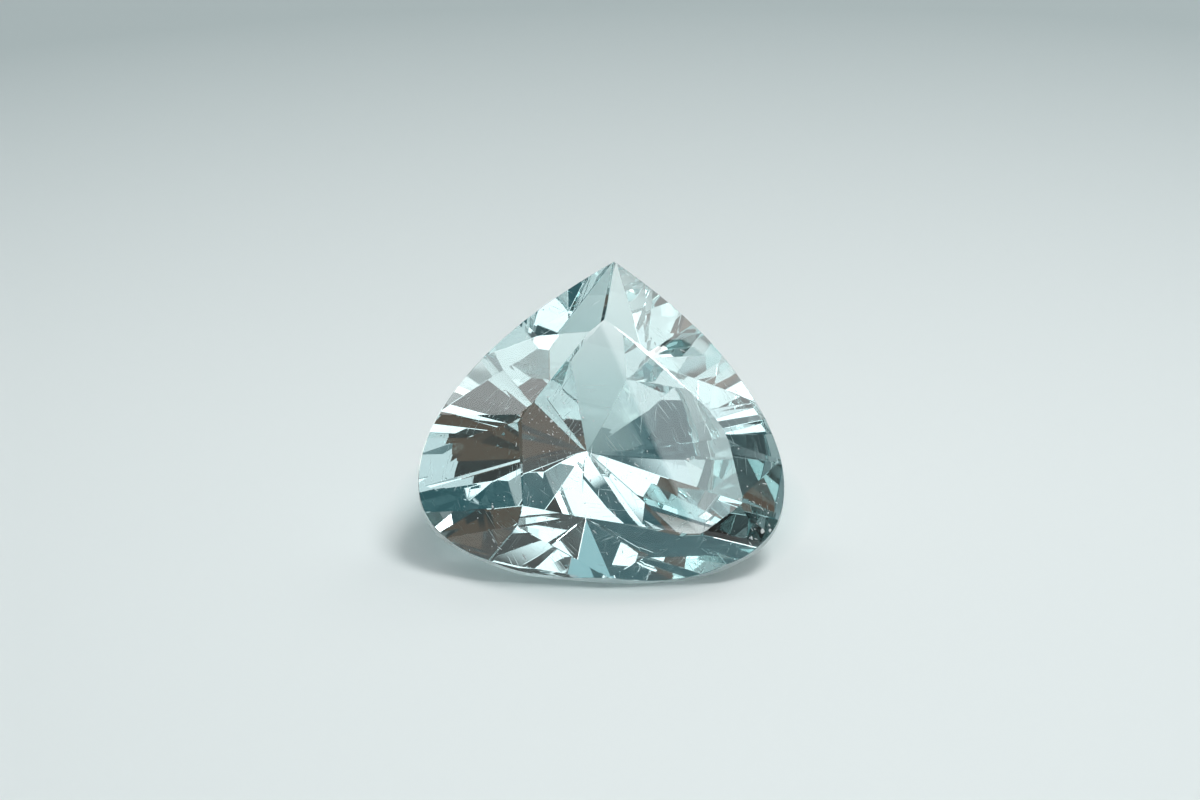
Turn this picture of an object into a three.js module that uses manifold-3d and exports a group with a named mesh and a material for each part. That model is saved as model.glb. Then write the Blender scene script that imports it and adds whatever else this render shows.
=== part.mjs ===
import * as THREE from "three";
import { mergeVertices } from "three/addons/utils/BufferGeometryUtils.js";
import Module from "manifold-3d";

// A pear-cut topaz lying on the pavilion facet below its round head, with its table leaning
// forward and its tip up and back. It is built flat first: x across, y to the tip, z out of the
// table, with the upper edge of the girdle at z = 0 and x = y = 0 in the middle of the widest line.
// Lengths are in millimetres and angles in degrees.

// Girdle outline
const HALF_WIDTH = 7.0;
const HEAD_REACH = 4.02;
const TIP_REACH = 9.4;
const TIP_HALF_ANGLE = 57.3;
const WING_FULLNESS = 0.75;
const HEAD_SQUARENESS = 2.45;
const OUTLINE_TURN = -3.1;
const OUTLINE_STEPS = 40;

// Heights, and where the culet stands
const CROWN_HEIGHT = 1.8;
const GIRDLE_THICKNESS = 0.58;
const PAVILION_DEPTH = 5.5;
const CULET = [-0.52, 2.31];

// Crown mains, clockwise from the right of the tip. Each passes through a point of the table and
// slopes down, facing the given way, to the girdle. apex is the height, as a share of the crown,
// where the star facet that follows it ends.
const CROWN_MAINS = [
  { table: [0.08, 5.5], facing: 42, apex: 0.92 },
  { table: [2.39, 2.68], facing: 37, apex: 0.92 },
  { table: [3.74, 0.29], facing: 10.5, apex: 0.66 },
  { table: [3.7, -1.75], facing: -44.5, apex: 0.77 },
  { table: [0.3, -2.05], facing: -92, apex: 0.73 },
  { table: [-2.96, -1.85], facing: -130, apex: 0.71 },
  { table: [-3.03, 0], facing: -178, apex: 0.9 },
  { table: [-3.09, 1.71], facing: -207, apex: 0.97 },
  { table: [0.08, 5.5], facing: -220.5, apex: 0.5 },
];

// The two facets that meet in the ridge from the table to the tip end at these heights on the
// first and the last crown main, this far from the tip.
const TIP_SHOULDERS = [
  { main: 0, point: [2.58, 5.96], girdleShare: 0.4 },
  { main: 8, point: [-2.45, 5.82], girdleShare: 0.4 },
];

// Pavilion mains, all through the culet; the first one runs to the tip itself. Each slopes up,
// facing the given way, to a point of the girdle that lies lift above its lower edge. Between it
// and the next main is a pair of long facets. They start at a share of the pavilion's depth
// above the culet, and end at a point of the girdle that is turned from halfway by the given angle.
const PAVILION_MAINS = [
  { facing: 86.9, lift: 0.1, start: 0.4, turn: 0 },
  { facing: 28.5, lift: 0.06, start: 0.17, turn: 1 },
  { facing: 11, lift: -0.01, start: 0.05, turn: -1 },
  { facing: -43, lift: 0.02, start: 0.4, turn: -6.5 },
  { facing: -90, lift: 0, start: 0.6, turn: 10.5 },
  { facing: -138, lift: -0.04, start: 0.42, turn: -13 },
  { facing: -175.5, lift: -0.03, start: 0.05, turn: -10.5 },
  { facing: -209, lift: 0.09, start: 0.42, turn: 0 },
];

const wasm = await Module();
wasm.setup();

const radians = THREE.MathUtils.degToRad;

function turned(x, y, degrees) {
  const c = Math.cos(radians(degrees));
  const s = Math.sin(radians(degrees));
  return new THREE.Vector2(x * c - y * s, x * s + y * c);
}

// Right half of the outline from the round head to the tip: a superellipse quarter, then a
// conic arc that leaves the widest line upright and reaches the tip at its half angle.
function halfOutline() {
  const points = [];
  for (let i = 0; i <= OUTLINE_STEPS; i += 1) {
    const a = (Math.PI / 2) * (i / OUTLINE_STEPS);
    const x = HALF_WIDTH * Math.sin(a) ** (2 / HEAD_SQUARENESS);
    const y = -HEAD_REACH * Math.cos(a) ** (2 / HEAD_SQUARENESS);
    points.push([x, y]);
  }
  const shoulder = TIP_REACH - HALF_WIDTH / Math.tan(radians(TIP_HALF_ANGLE));
  for (let i = 1; i <= OUTLINE_STEPS; i += 1) {
    const q = i / OUTLINE_STEPS;
    const b0 = (1 - q) ** 2;
    const b1 = 2 * q * (1 - q) * WING_FULLNESS;
    const b2 = q ** 2;
    const x = (HALF_WIDTH * (b0 + b1)) / (b0 + b1 + b2);
    const y = (shoulder * b1 + TIP_REACH * b2) / (b0 + b1 + b2);
    points.push([x, y]);
  }
  return points;
}

const right = halfOutline();
const left = right.slice(1, -1).map(([x, y]) => [-x, y]).reverse();
const outline = [...right, ...left].map(([x, y]) => turned(x, y, OUTLINE_TURN));
const tip = turned(0, TIP_REACH, OUTLINE_TURN);

// Level direction that faces the given way
function level(facing) {
  return new THREE.Vector3(Math.cos(radians(facing)), Math.sin(radians(facing)), 0);
}

// Point of the girdle that lies furthest in a direction
function girdleFacing(facing, z) {
  const d = level(facing);
  const far = outline.reduce((a, b) => (b.x * d.x + b.y * d.y > a.x * d.x + a.y * d.y ? b : a));
  return new THREE.Vector3(far.x, far.y, z);
}

// Point of the girdle straight out from the culet through a level position
function girdleThrough(p, z) {
  const way = new THREE.Vector2(p.x - CULET[0], p.y - CULET[1]).normalize();
  for (let i = 0; i < outline.length; i += 1) {
    const a = outline[i].clone().sub(new THREE.Vector2(...CULET));
    const b = outline[(i + 1) % outline.length].clone().sub(new THREE.Vector2(...CULET));
    const sideA = way.cross(a);
    const sideB = way.cross(b);
    if (sideA <= 0 && sideB > 0 && a.dot(way) > 0) {
      const hit = a.lerp(b, sideA / (sideA - sideB));
      return new THREE.Vector3(hit.x + CULET[0], hit.y + CULET[1], z);
    }
  }
  throw new Error("no girdle there");
}

const core = new THREE.Vector3(CULET[0], CULET[1], 0);

// A cut is a plane whose normal points away from the stone.
function outward(plane) {
  return plane.distanceToPoint(core) > 0 ? plane.negate() : plane;
}

function cutThrough(a, b, c) {
  return outward(new THREE.Plane().setFromCoplanarPoints(a, b, c));
}

// Plane through two points whose level direction of slope is given
function cutFacing(high, low, facing) {
  const d = level(facing);
  const run = low.clone().sub(high).dot(d);
  const normal = d.multiplyScalar(low.z - high.z).add(new THREE.Vector3(0, 0, -run)).normalize();
  return outward(new THREE.Plane().setFromNormalAndCoplanarPoint(normal, high));
}

// Point at height z on the line where two cuts meet
function meeting(p, q, z) {
  const det = p.normal.x * q.normal.y - p.normal.y * q.normal.x;
  const u = -p.constant - p.normal.z * z;
  const v = -q.constant - q.normal.z * z;
  const x = (u * q.normal.y - v * p.normal.y) / det;
  const y = (p.normal.x * v - q.normal.x * u) / det;
  return new THREE.Vector3(x, y, z);
}

function heightOn(plane, x, y) {
  return -(plane.constant + plane.normal.x * x + plane.normal.y * y) / plane.normal.z;
}

const cuts = [new THREE.Plane(new THREE.Vector3(0, 0, 1), -CROWN_HEIGHT)];

// Crown: mains, stars between them, and a pair of upper girdle facets below each star
const crown = CROWN_MAINS.map((main) => {
  const corner = new THREE.Vector3(...main.table, CROWN_HEIGHT);
  const girdle = girdleFacing(main.facing, 0);
  return { ...main, corner, girdle, cut: cutFacing(corner, girdle, main.facing) };
});
cuts.push(...crown.map((main) => main.cut));

for (let i = 0; i + 1 < crown.length; i += 1) {
  const a = crown[i];
  const b = crown[i + 1];
  const apex = meeting(a.cut, b.cut, a.apex * CROWN_HEIGHT);
  const middle = girdleFacing((a.facing + b.facing) / 2, 0);
  cuts.push(cutThrough(a.corner, b.corner, apex));
  cuts.push(cutThrough(apex, a.girdle, middle));
  cuts.push(cutThrough(apex, middle, b.girdle));
}

// Tip: the ridge between two facets, and a narrow girdle facet beside each
const tipPoint = new THREE.Vector3(tip.x, tip.y, 0);
for (const shoulder of TIP_SHOULDERS) {
  const main = crown[shoulder.main];
  const [x, y] = shoulder.point;
  const point = new THREE.Vector3(x, y, heightOn(main.cut, x, y));
  const along = tipPoint.clone().lerp(main.girdle, shoulder.girdleShare);
  cuts.push(cutThrough(main.corner, tipPoint, point));
  cuts.push(cutThrough(point, main.girdle, girdleThrough(along, 0)));
}

// Pavilion: mains through the culet, with a pair of long lower girdle facets between each two
const culet = new THREE.Vector3(...CULET, -GIRDLE_THICKNESS - PAVILION_DEPTH);
const pavilion = PAVILION_MAINS.map((main, i) => {
  const girdle = girdleFacing(main.facing, -GIRDLE_THICKNESS + main.lift);
  if (i === 0) girdle.set(tip.x, tip.y, girdle.z);
  return { ...main, girdle, cut: cutFacing(culet, girdle, main.facing) };
});
cuts.push(...pavilion.map((main) => main.cut));

pavilion.forEach((a, i) => {
  const b = pavilion[(i + 1) % pavilion.length];
  const start = meeting(a.cut, b.cut, culet.z + a.start * PAVILION_DEPTH);
  const besideTip = i === 0 || i === pavilion.length - 1;
  const middle = besideTip
    ? girdleThrough(a.girdle.clone().lerp(b.girdle, 0.5), -GIRDLE_THICKNESS)
    : girdleFacing((a.facing + b.facing) / 2 + a.turn, -GIRDLE_THICKNESS);
  cuts.push(cutThrough(start, a.girdle, middle));
  cuts.push(cutThrough(start, middle, b.girdle));
});

function solid(geometry) {
  const bare = geometry.clone();
  bare.deleteAttribute("normal");
  bare.deleteAttribute("uv");
  const merged = mergeVertices(bare, 1e-4);
  return new wasm.Manifold(
    new wasm.Mesh({
      numProp: 3,
      vertProperties: new Float32Array(merged.attributes.position.array),
      triVerts: new Uint32Array(merged.index.array),
    }),
  );
}

// Each cut takes away a large block that lies outside its plane.
const BLOCK = 60;
function blockBeyond(plane) {
  const block = new THREE.BoxGeometry(BLOCK, BLOCK, BLOCK);
  const turn = new THREE.Quaternion().setFromUnitVectors(new THREE.Vector3(0, 0, 1), plane.normal);
  const centre = plane.normal.clone().multiplyScalar(-plane.constant + BLOCK / 2);
  block.applyQuaternion(turn);
  block.translate(centre.x, centre.y, centre.z);
  return solid(block);
}

const depth = GIRDLE_THICKNESS + PAVILION_DEPTH + 1;
const rough = new THREE.ExtrudeGeometry(new THREE.Shape(outline), {
  depth: depth + CROWN_HEIGHT + 1,
  steps: 1,
  bevelEnabled: false,
});
rough.translate(0, 0, -depth);
const stone = cuts.reduce((body, plane) => body.subtract(blockBeyond(plane)), solid(rough));

const mesh = stone.getMesh();
const geometry = new THREE.BufferGeometry();
geometry.setAttribute("position", new THREE.BufferAttribute(new Float32Array(mesh.vertProperties), 3));
geometry.setIndex(new THREE.BufferAttribute(new Uint32Array(mesh.triVerts), 1));

// Lay the pavilion main that faces the head on the ground, table forward and tip back, and put
// the origin on the ground below the middle of the stone.
const head = pavilion.find((main) => main.facing === -90);
geometry.applyQuaternion(
  new THREE.Quaternion().setFromUnitVectors(head.cut.normal, new THREE.Vector3(0, 0, -1)),
);
geometry.computeBoundingBox();
const { min, max } = geometry.boundingBox;
geometry.translate(-(min.x + max.x) / 2, -(min.y + max.y) / 2, -min.z);
geometry.computeVertexNormals();

const topaz = new THREE.Mesh(
  geometry,
  new THREE.MeshStandardMaterial({ color: 0xb9d6d8, roughness: 0.02, metalness: 0 }),
);
topaz.name = "topaz_stone";

const group = new THREE.Group();
group.add(topaz);

export default group;
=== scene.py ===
import math
import random

import bmesh
import bpy
from mathutils import Matrix, Vector
from mathutils.bvhtree import BVHTree


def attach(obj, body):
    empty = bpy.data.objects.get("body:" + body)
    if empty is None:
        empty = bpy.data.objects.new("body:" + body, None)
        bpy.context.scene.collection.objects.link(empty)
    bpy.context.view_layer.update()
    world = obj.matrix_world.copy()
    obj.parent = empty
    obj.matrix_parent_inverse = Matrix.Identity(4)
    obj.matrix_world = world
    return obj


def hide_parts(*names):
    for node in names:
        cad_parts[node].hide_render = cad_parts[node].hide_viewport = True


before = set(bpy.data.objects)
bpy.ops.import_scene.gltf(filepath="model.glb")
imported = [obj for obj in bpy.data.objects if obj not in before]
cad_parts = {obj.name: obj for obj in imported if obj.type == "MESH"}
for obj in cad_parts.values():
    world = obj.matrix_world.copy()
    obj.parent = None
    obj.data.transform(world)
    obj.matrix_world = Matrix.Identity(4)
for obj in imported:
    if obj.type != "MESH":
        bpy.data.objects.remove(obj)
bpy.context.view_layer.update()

# A pear-cut topaz on a pale surface under soft light. Lengths are in metres, in the part's frame.
MM = 0.001
DEGREE = math.pi / 180

# Place of the stone in the part's frame: middle of its widest line, on the girdle's upper edge
GIRDLE_MIDDLE = Vector((0.0, -2.17, 3.09)) * MM

# Camera
CAMERA_ELEVATION = 24.0 * DEGREE
CAMERA_DISTANCE = 180.0 * MM
VIEW_WIDTH = 45.9 * MM
SENSOR = 36.0
TARGET_OFFSET = Vector((-0.05, 1.25, 2.81)) * MM

# Stone
TOPAZ_IOR = 1.62
TOPAZ_TINT = (0.50, 0.845, 0.85)
TOPAZ_DENSITY = 45.0
WORN_EDGE = 0.030 * MM
SHARP_ANGLE = 5.0 * DEGREE
# Facets of the solid are joined up to this angle, and points up to this distance in millimetres
FLAT_ANGLE = 0.35 * DEGREE
WELD_DISTANCE = 0.0015
# Facets this close to square with the table are the girdle, as the cosine between the two
GIRDLE_SLOPE = 0.12

# Wear of the stone's surface. Scratches: lines for each metre across and along, turn in degrees,
# and the share of the noise that is left out
SCRATCHES = (
    (16000.0, 450.0, 8.0, 0.68),
    (12000.0, 350.0, -38.0, 0.74),
)
SCRATCH_EDGE = 0.05
SCRATCH_STRENGTH = 0.35
WORN_PATCH_SCALE = 420.0
WORN_PATCH_EDGE = (0.45, 0.60)
FROST_SCALE = 9000.0
FROST_DETAIL = 3.0
FROST_NOISE = (0.3, 0.7)
FROST_ROUGHNESS = (0.32, 0.62)
FROST_CLEARNESS = 0.70

# Roughness of the dust and of the tabletop
MATT = 0.9

# Surroundings. Azimuth 0 is behind the stone, 90 is on its right and 180 is on the camera's side.
DIM_LEFT = (0.05, 0.115, 0.13)
DIM_RIGHT = (0.065, 0.06, 0.058)
OVERHEAD = (0.9, 0.9, 0.9)
# Panels: azimuth, elevation, half width and half height in degrees, and colour
PANELS = (
    (-22, 16, 62, 17, (0.40, 0.46, 0.48)),
    (-46, 52, 12, 12, (3.2, 3.2, 3.15)),
    (43, 43, 12, 17, (3.2, 3.2, 3.15)),
    (-176, 22, 7, 15, (0.80, 0.86, 0.88)),
    (-9, 43, 14, 23, (0.29, 0.52, 0.56)),
    (93, 0, 20, 8, (2.40, 2.20, 2.00)),
    (161, 53, 33, 12, (1.50, 1.58, 1.60)),
    (176, 2, 14, 3, (0.85, 0.90, 0.90)),
    (-88, 55, 28, 12, (0.01, 0.01, 0.01)),
    (128, 73, 20, 6, (3.2, 3.2, 3.2)),
    (150, 20, 20, 11, (0.15, 0.10, 0.078)),
)
# Half width of the panels' soft edges, in degrees
PANEL_EDGE = 1.0
# Overhead light comes in between these elevations
OVERHEAD_RISE = (70.0 * DEGREE, 80.0 * DEGREE)
# The left side's dim colour turns into the right side's between these shares of a step to the right
SIDE_CHANGE = (-0.10, 0.20)
# Key light: azimuth, elevation, distance and side in metres, and brightness
KEY_AZIMUTH = 95.0
KEY_ELEVATION = 70.0
KEY_DISTANCE = 0.45
KEY_SIDE = 0.16
KEY_BRIGHTNESS = 13.0
KEY_AIM_HEIGHT = 4.0 * MM

# Tabletop. Painted shade: it darkens from its near to its far colour with depth and to both sides,
# standing in for light that falls off there
TABLETOP_SIDE = 1.6
TABLETOP_GAP = 0.005 * MM
TABLETOP_NEAR = (0.765, 0.805, 0.805)
TABLETOP_FAR_SHADED = (0.40, 0.455, 0.46)
SHADE_FADE_DEPTH = (-6.0 * MM, 62.0 * MM)
SHADE_FADE_MIDDLE = 5.0 * MM
SHADE_FADE_REACH = 80.0 * MM
# Painted shadow, darker and teal, in the ground's colour below and behind the stone, standing in
# for its shadow and the light through it: half width, half depth and how far back its middle is
PAINTED_SHADOW_GROUND = (6.9 * MM, 7.4 * MM, 2.1 * MM)
# The painted shadow comes in between these squared distances, as parts of its half width and depth
PAINTED_SHADOW_EDGE = (1.45, 0.4)
PAINTED_SHADOW_COLOUR = (0.50, 0.64, 0.64)

# Dust on the crown, in millimetres. Patches as (across, towards the tip, spread, count), in the
# table's plane
DUST_SEED = 11
DUST_PATCHES = (
    (-1.2, 1.9, 0.9, 75),
    (-2.2, 0.6, 1.0, 25),
    (5.6, -1.9, 0.8, 60),
    (-3.1, -2.7, 1.1, 45),
    (0.7, -1.2, 0.9, 18),
    (0.0, 1.5, 4.5, 90),
)
# Larger grains as (across, towards the tip, radius)
GRAINS = (
    (6.1, -2.2, 0.10),
    (6.4, -2.1, 0.07),
    (3.3, 0.3, 0.07),
    (-1.9, 1.7, 0.06),
    (-0.7, 1.9, 0.05),
)
DUST_RADIUS = 0.018
DUST_SPREAD = 0.45
# Height, lift and lumps of a grain, as shares of its radius
DUST_HEIGHT = 0.45
DUST_LIFT = 0.3
DUST_LUMPS = (0.75, 1.15)
DUST_TINT_SCALE = 4000.0
DUST_COLOURS = ((0.50, 0.52, 0.53), (0.88, 0.92, 0.93))
# Share of the specks that are drawn out, how long and thin these are, and which way they lie
LONG_SPECKS = 0.25
LONG_STRETCH = (3.0, 8.0)
LONG_THINNESS = 0.8
LONG_TURN = (-60.0, 15.0)
ROUND_STRETCH = (1.0, 1.6)
GRAIN_STRETCH = 1.2
# Grains are laid from this height above the table, and not where the stone is steeper than this
LAY_HEIGHT = 10.0
LEAST_SLOPE = 0.3


def new_material(name):
    """Empty material with its node list, its links and its output node."""
    material = bpy.data.materials.new(name)
    material.use_nodes = True
    nodes = material.node_tree.nodes
    nodes.clear()
    output = nodes.new("ShaderNodeOutputMaterial")
    return material, nodes, material.node_tree.links, output


def ramp(nodes, links, source, low, high, to_low=0.0, to_high=1.0):
    """Stretches a value between two limits onto another range."""
    node = nodes.new("ShaderNodeMapRange")
    node.inputs["From Min"].default_value = low
    node.inputs["From Max"].default_value = high
    node.inputs["To Min"].default_value = to_low
    node.inputs["To Max"].default_value = to_high
    links.new(source, node.inputs["Value"])
    return node.outputs["Result"]


def combine(nodes, links, kind, a, b):
    """One arithmetic step on two values, either of which may be a plain number."""
    node = nodes.new("ShaderNodeMath")
    node.operation = kind
    for socket, value in zip(node.inputs, (a, b)):
        if isinstance(value, (int, float)):
            socket.default_value = value
        else:
            links.new(value, socket)
    return node.outputs["Value"]


def blend_colours(nodes, links, factor, a, b):
    """Goes from one colour to another as the factor goes from 0 to 1."""
    node = nodes.new("ShaderNodeMix")
    node.data_type = "RGBA"
    links.new(factor, node.inputs[0])
    colours = [s for s in node.inputs if s.type == "RGBA"]
    for socket, value in zip(colours, (a, b)):
        if isinstance(value, tuple):
            socket.default_value = (*value, 1.0)
        else:
            links.new(value, socket)
    return next(s for s in node.outputs if s.type == "RGBA")


def hairlines(nodes, links, across, along, turn, keep):
    """Mask of fine straight scratches that run one way over the facets."""
    uv = nodes.new("ShaderNodeUVMap")
    uv.uv_map = "facet"
    spin = nodes.new("ShaderNodeMapping")
    spin.inputs["Rotation"].default_value = (0, 0, turn * DEGREE)
    stretch = nodes.new("ShaderNodeMapping")
    stretch.inputs["Scale"].default_value = (along, across, 1.0)
    noise = nodes.new("ShaderNodeTexNoise")
    noise.inputs["Scale"].default_value = 1.0
    noise.inputs["Detail"].default_value = 1.0
    links.new(uv.outputs["UV"], spin.inputs["Vector"])
    links.new(spin.outputs["Vector"], stretch.inputs["Vector"])
    links.new(stretch.outputs["Vector"], noise.inputs["Vector"])
    return ramp(nodes, links, noise.outputs["Fac"], keep, keep + SCRATCH_EDGE)


def topaz_material():
    """Clear pale blue stone: polished facets with hairline scratches, and a frosted girdle."""
    material, nodes, links, output = new_material("topaz")
    shader = nodes.new("ShaderNodeBsdfPrincipled")
    shader.inputs["Base Color"].default_value = (1.0, 1.0, 1.0, 1.0)
    shader.inputs["IOR"].default_value = TOPAZ_IOR

    girdle = nodes.new("ShaderNodeAttribute")
    girdle.attribute_name = "girdle"
    frost = girdle.outputs["Fac"]

    grain = nodes.new("ShaderNodeTexNoise")
    grain.inputs["Scale"].default_value = FROST_SCALE
    grain.inputs["Detail"].default_value = FROST_DETAIL
    where = nodes.new("ShaderNodeTexCoord")
    links.new(where.outputs["Object"], grain.inputs["Vector"])

    first, second = (hairlines(nodes, links, *scratch) for scratch in SCRATCHES)
    lines = combine(nodes, links, "MAXIMUM", first, second)
    patches = nodes.new("ShaderNodeTexNoise")
    patches.inputs["Scale"].default_value = WORN_PATCH_SCALE
    links.new(where.outputs["Object"], patches.inputs["Vector"])
    worn = ramp(nodes, links, patches.outputs["Fac"], *WORN_PATCH_EDGE)
    lines = combine(nodes, links, "MULTIPLY", lines, worn)

    uneven = ramp(nodes, links, grain.outputs["Fac"], *FROST_NOISE, *FROST_ROUGHNESS)
    frosted = combine(nodes, links, "MULTIPLY", frost, uneven)
    scuffed = combine(nodes, links, "MULTIPLY", lines, SCRATCH_STRENGTH)
    rough = combine(nodes, links, "MAXIMUM", frosted, scuffed)
    links.new(rough, shader.inputs["Roughness"])

    # The frosted girdle and the scratches also scatter some light.
    pale = combine(nodes, links, "MAXIMUM", frost, scuffed)
    clear = ramp(nodes, links, pale, 0.0, 1.0, 1.0, FROST_CLEARNESS)
    links.new(clear, shader.inputs["Transmission Weight"])

    volume = nodes.new("ShaderNodeVolumeAbsorption")
    volume.inputs["Color"].default_value = (*TOPAZ_TINT, 1.0)
    volume.inputs["Density"].default_value = TOPAZ_DENSITY
    links.new(shader.outputs["BSDF"], output.inputs["Surface"])
    links.new(volume.outputs["Volume"], output.inputs["Volume"])
    return material


def dust_material():
    """Pale fibre and powder specks."""
    material, nodes, links, output = new_material("dust")
    shader = nodes.new("ShaderNodeBsdfPrincipled")
    tint = nodes.new("ShaderNodeTexNoise")
    tint.inputs["Scale"].default_value = DUST_TINT_SCALE
    where = nodes.new("ShaderNodeTexCoord")
    links.new(where.outputs["Object"], tint.inputs["Vector"])
    colour = blend_colours(nodes, links, tint.outputs["Fac"], *DUST_COLOURS)
    links.new(colour, shader.inputs["Base Color"])
    shader.inputs["Roughness"].default_value = MATT
    links.new(shader.outputs["BSDF"], output.inputs["Surface"])
    return material


def surface_material():
    """Pale cool grey tabletop. Painted shade darkens it behind the stone and a little to both
    sides, and a painted shadow darkens and tints it below the stone.
    """
    material, nodes, links, output = new_material("tabletop")
    shader = nodes.new("ShaderNodeBsdfPrincipled")
    where = nodes.new("ShaderNodeTexCoord")
    split = nodes.new("ShaderNodeSeparateXYZ")
    links.new(where.outputs["Object"], split.inputs["Vector"])
    # Painted shade: the colour darkens with depth behind the stone and towards both sides.
    depth = ramp(nodes, links, split.outputs["Y"], *SHADE_FADE_DEPTH)
    painted_falloff = combine(nodes, links, "MULTIPLY", depth, depth)
    side = combine(nodes, links, "SUBTRACT", split.outputs["X"], SHADE_FADE_MIDDLE)
    side = combine(nodes, links, "DIVIDE", side, SHADE_FADE_REACH)
    side = combine(nodes, links, "MULTIPLY", side, side)
    painted_falloff = combine(nodes, links, "ADD", painted_falloff, side)
    colour = blend_colours(nodes, links, painted_falloff, TABLETOP_NEAR, TABLETOP_FAR_SHADED)
    # Painted shadow: the ground's colour is darkened and tinted teal below the stone, standing in
    # for its shadow and the light that has gone through it.
    half_width, half_depth, back = PAINTED_SHADOW_GROUND
    x = combine(nodes, links, "DIVIDE", split.outputs["X"], half_width)
    y = combine(nodes, links, "SUBTRACT", split.outputs["Y"], back)
    y = combine(nodes, links, "DIVIDE", y, half_depth)
    x = combine(nodes, links, "MULTIPLY", x, x)
    y = combine(nodes, links, "MULTIPLY", y, y)
    painted_shadow = combine(nodes, links, "ADD", x, y)
    painted_shadow = ramp(nodes, links, painted_shadow, *PAINTED_SHADOW_EDGE)
    colour = blend_colours(nodes, links, painted_shadow, colour, PAINTED_SHADOW_COLOUR)
    links.new(colour, shader.inputs["Base Color"])
    shader.inputs["Roughness"].default_value = MATT
    links.new(shader.outputs["BSDF"], output.inputs["Surface"])
    return material


def solid_copy(node):
    """The CAD solid as one welded mesh with one face for each facet, in millimetres."""
    stone = bmesh.new()
    stone.from_mesh(node.data)
    bmesh.ops.scale(stone, vec=(1 / MM, 1 / MM, 1 / MM), verts=stone.verts)
    bmesh.ops.remove_doubles(stone, verts=stone.verts, dist=WELD_DISTANCE)
    bmesh.ops.dissolve_limit(
        stone, angle_limit=FLAT_ANGLE, verts=stone.verts, edges=stone.edges, delimit=set()
    )
    stone.normal_update()
    return stone


def wear_edges(stone, width):
    """Cuts a narrow flat along every edge between two facets."""
    flats = []
    for edge in stone.edges:
        if len(edge.link_faces) != 2:
            continue
        angle = edge.calc_face_angle(0.0)
        if angle < SHARP_ANGLE:
            continue
        middle = (edge.verts[0].co + edge.verts[1].co) / 2
        normal = (edge.link_faces[0].normal + edge.link_faces[1].normal).normalized()
        depth = width / 2 * math.tan(angle / 2)
        flats.append((middle - normal * depth, normal))
    for point, normal in flats:
        parts = list(stone.verts) + list(stone.edges) + list(stone.faces)
        cut = bmesh.ops.bisect_plane(
            stone, geom=parts, dist=1e-6, plane_co=point, plane_no=normal, clear_outer=True
        )
        rim = [e for e in cut["geom_cut"] if isinstance(e, bmesh.types.BMEdge)]
        if rim:
            bmesh.ops.holes_fill(stone, edges=rim, sides=0)
    stone.normal_update()


def largest_facet(stone):
    """The table, which is the stone's largest facet."""
    return max(stone.faces, key=lambda face: face.calc_area())


def map_facets(stone, table):
    """Marks the girdle, and lays each facet flat at a place of its own for the scratches."""
    girdle = stone.faces.layers.float.new("girdle")
    layer = stone.loops.layers.uv.new("facet")
    for face in stone.faces:
        face[girdle] = 1.0 if abs(face.normal.dot(table)) < GIRDLE_SLOPE else 0.0
        side = face.normal.cross(table)
        if side.length < 1e-3:
            side = Vector((1, 0, 0))
        side.normalize()
        up = face.normal.cross(side)
        centre = face.calc_center_median()
        for loop in face.loops:
            offset = loop.vert.co
            loop[layer].uv = (offset.dot(side) * MM + centre.x, offset.dot(up) * MM + centre.y)


def as_object(mesh_data, name, material):
    """Turns a mesh in millimetres into a piece that rides on the stone's body."""
    mesh_data.transform(Matrix.Scale(MM, 4))
    mesh = bpy.data.meshes.new(name)
    mesh_data.to_mesh(mesh)
    mesh_data.free()
    piece = bpy.data.objects.new(name, mesh)
    bpy.context.scene.collection.objects.link(piece)
    mesh.materials.append(material)
    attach(piece, "root")
    return piece


def make_floor():
    """Wide flat tabletop just below the stone."""
    bpy.ops.mesh.primitive_plane_add(size=TABLETOP_SIDE, location=(0, 0, -TABLETOP_GAP))
    floor = bpy.context.object
    floor.name = "tabletop"
    floor.data.materials.append(surface_material())


def make_camera():
    """Long lens that looks down at the table and the crown from in front."""
    data = bpy.data.cameras.new("camera")
    camera = bpy.data.objects.new("camera", data)
    bpy.context.scene.collection.objects.link(camera)
    data.sensor_width = SENSOR
    data.lens = SENSOR * CAMERA_DISTANCE / VIEW_WIDTH
    data.clip_start = 1 * MM
    data.clip_end = 10
    target = GIRDLE_MIDDLE + TARGET_OFFSET
    back = Vector((0, -math.cos(CAMERA_ELEVATION), math.sin(CAMERA_ELEVATION)))
    camera.location = target + back * CAMERA_DISTANCE
    camera.rotation_mode = "QUATERNION"
    camera.rotation_quaternion = (-back).to_track_quat("-Z", "Y")
    bpy.context.scene.camera = camera


def make_key_light():
    """Square area light that faces the stone."""
    data = bpy.data.lights.new("key", "AREA")
    data.shape = "RECTANGLE"
    data.size = KEY_SIDE
    data.size_y = KEY_SIDE
    data.energy = KEY_BRIGHTNESS * math.pi * KEY_SIDE * KEY_SIDE
    light = bpy.data.objects.new("key", data)
    bpy.context.scene.collection.objects.link(light)
    a, e = KEY_AZIMUTH * DEGREE, KEY_ELEVATION * DEGREE
    way = Vector((math.sin(a) * math.cos(e), math.cos(a) * math.cos(e), math.sin(e)))
    light.location = way * KEY_DISTANCE + Vector((0, 0, KEY_AIM_HEIGHT))
    light.rotation_mode = "QUATERNION"
    light.rotation_quaternion = way.to_track_quat("Z", "Y")


def inside(nodes, links, turn, half):
    """1 where a turn is less than half a panel's width in degrees, with a soft edge."""
    outer, inner = half + PANEL_EDGE, half - PANEL_EDGE
    return ramp(nodes, links, turn, outer * DEGREE, inner * DEGREE)


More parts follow.
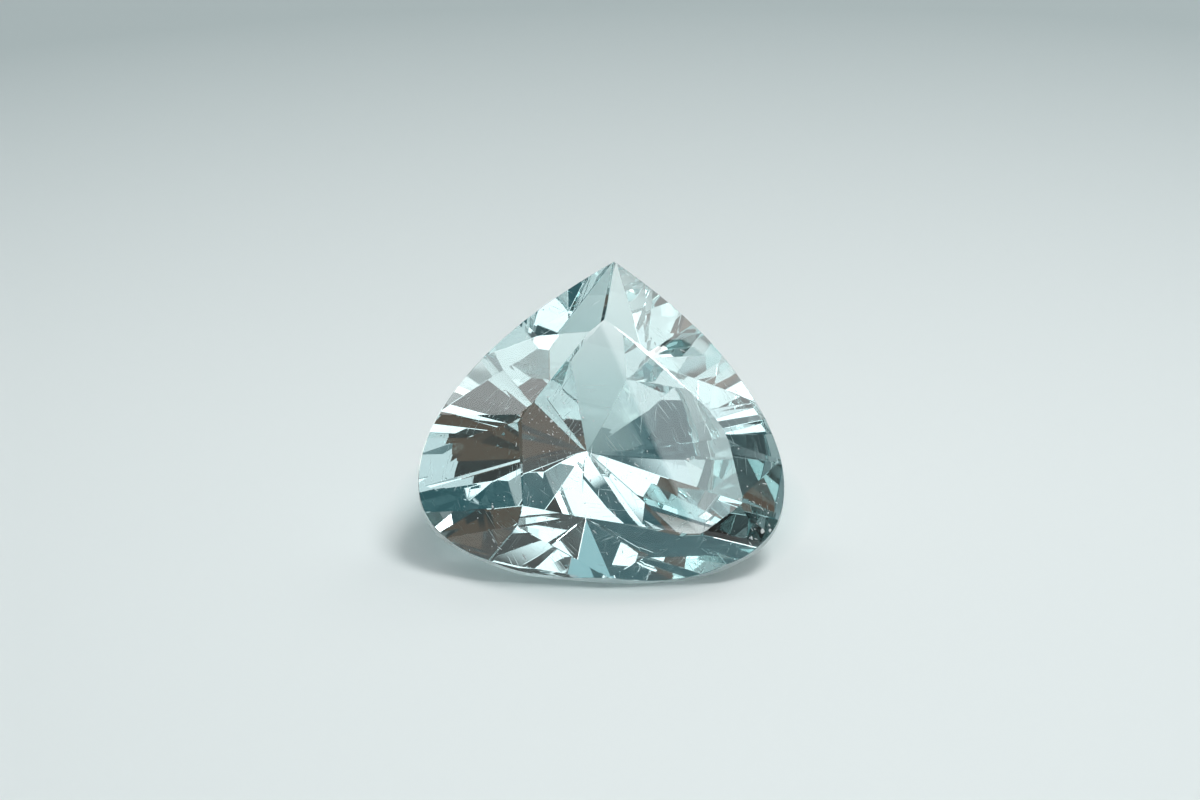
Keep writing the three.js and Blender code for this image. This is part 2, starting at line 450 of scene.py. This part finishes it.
def make_world():
    """Dim all round and pale overhead, with plain panels set up around the stone."""
    world = bpy.data.worlds.new("studio")
    bpy.context.scene.world = world
    world.use_nodes = True
    nodes, links = world.node_tree.nodes, world.node_tree.links
    where = nodes.new("ShaderNodeTexCoord")
    way = nodes.new("ShaderNodeSeparateXYZ")
    links.new(where.outputs["Generated"], way.inputs["Vector"])
    right = ramp(nodes, links, way.outputs["X"], *SIDE_CHANGE)
    low, high = (math.sin(rise) for rise in OVERHEAD_RISE)
    above = ramp(nodes, links, way.outputs["Z"], low, high)
    sky = blend_colours(nodes, links, right, DIM_LEFT, DIM_RIGHT)
    sky = blend_colours(nodes, links, above, sky, OVERHEAD)
    azimuth = combine(nodes, links, "ARCTAN2", way.outputs["X"], way.outputs["Y"])
    elevation = combine(nodes, links, "ARCSINE", way.outputs["Z"], 0.0)
    for turn, height, half_width, half_height, colour in PANELS:
        # Take the turn to the panel's middle the short way round.
        off = combine(nodes, links, "SUBTRACT", azimuth, turn * DEGREE)
        off = combine(nodes, links, "PINGPONG", off, math.pi)
        wide = inside(nodes, links, off, half_width)
        rise = combine(nodes, links, "SUBTRACT", elevation, height * DEGREE)
        rise = combine(nodes, links, "ABSOLUTE", rise, 0.0)
        tall = inside(nodes, links, rise, half_height)
        panel = combine(nodes, links, "MULTIPLY", wide, tall)
        sky = blend_colours(nodes, links, panel, sky, colour)
    background = nodes["Background"]
    links.new(sky, background.inputs["Color"])
    background.inputs["Strength"].default_value = 1.0


def render_settings():
    """Plain colours, and enough bounces for light that crosses many facets."""
    scene = bpy.context.scene
    scene.view_settings.view_transform = "Standard"
    scene.view_settings.look = "None"
    scene.cycles.max_bounces = 24
    scene.cycles.transmission_bounces = 24
    scene.cycles.glossy_bounces = 16


def make_stone():
    """The stone with its worn edges. Returns its surface and the way that the table faces."""
    stone = solid_copy(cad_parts["topaz_stone"])
    table = largest_facet(stone).normal.copy()
    wear_edges(stone, WORN_EDGE / MM)
    map_facets(stone, table)
    surface = BVHTree.FromBMesh(stone)
    piece = as_object(stone, "cut_stone", topaz_material())
    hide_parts("topaz_stone")
    return surface, table


def make_dust(surface, table):
    """Small flattened grains, some of them drawn out, that lie on the crown and the table."""
    draw = random.Random(DUST_SEED)
    across = Vector((1, 0, 0))
    upward = table.cross(across).normalized()
    middle = GIRDLE_MIDDLE / MM
    dust = bmesh.new()

    def lay(px, py, size, long, turn):
        """Lays one lumpy grain where a line square to the table meets the stone."""
        start = middle + across * px + upward * py + table * LAY_HEIGHT
        point, normal, _, _ = surface.ray_cast(start, -table)
        if point is None or normal.dot(table) < LEAST_SLOPE:
            return
        spin = Matrix.Rotation(turn * DEGREE, 4, "Z")
        shape = Matrix.Diagonal((size * long, size, size * DUST_HEIGHT, 1.0))
        lie = normal.to_track_quat("Z", "Y").to_matrix().to_4x4()
        place = Matrix.Translation(point + normal * size * DUST_LIFT) @ lie @ spin @ shape
        grain = bmesh.ops.create_icosphere(dust, subdivisions=1, radius=1.0)
        for vert in grain["verts"]:
            vert.co = place @ (vert.co * draw.uniform(*DUST_LUMPS))

    for x, y, spread, count in DUST_PATCHES:
        for _ in range(count):
            px = draw.gauss(x, spread)
            py = draw.gauss(y, spread)
            size = DUST_RADIUS * math.exp(draw.gauss(0, DUST_SPREAD))
            if draw.random() < LONG_SPECKS:
                thin = size * LONG_THINNESS
                lay(px, py, thin, draw.uniform(*LONG_STRETCH), draw.gauss(*LONG_TURN))
            else:
                lay(px, py, size, draw.uniform(*ROUND_STRETCH), draw.uniform(0, 360))
    for px, py, size in GRAINS:
        lay(px, py, size, GRAIN_STRETCH, draw.uniform(0, 360))
    as_object(dust, "dust_specks", dust_material())


make_camera()
make_world()
make_floor()
render_settings()
make_key_light()
surface, table = make_stone()
make_dust(surface, table)
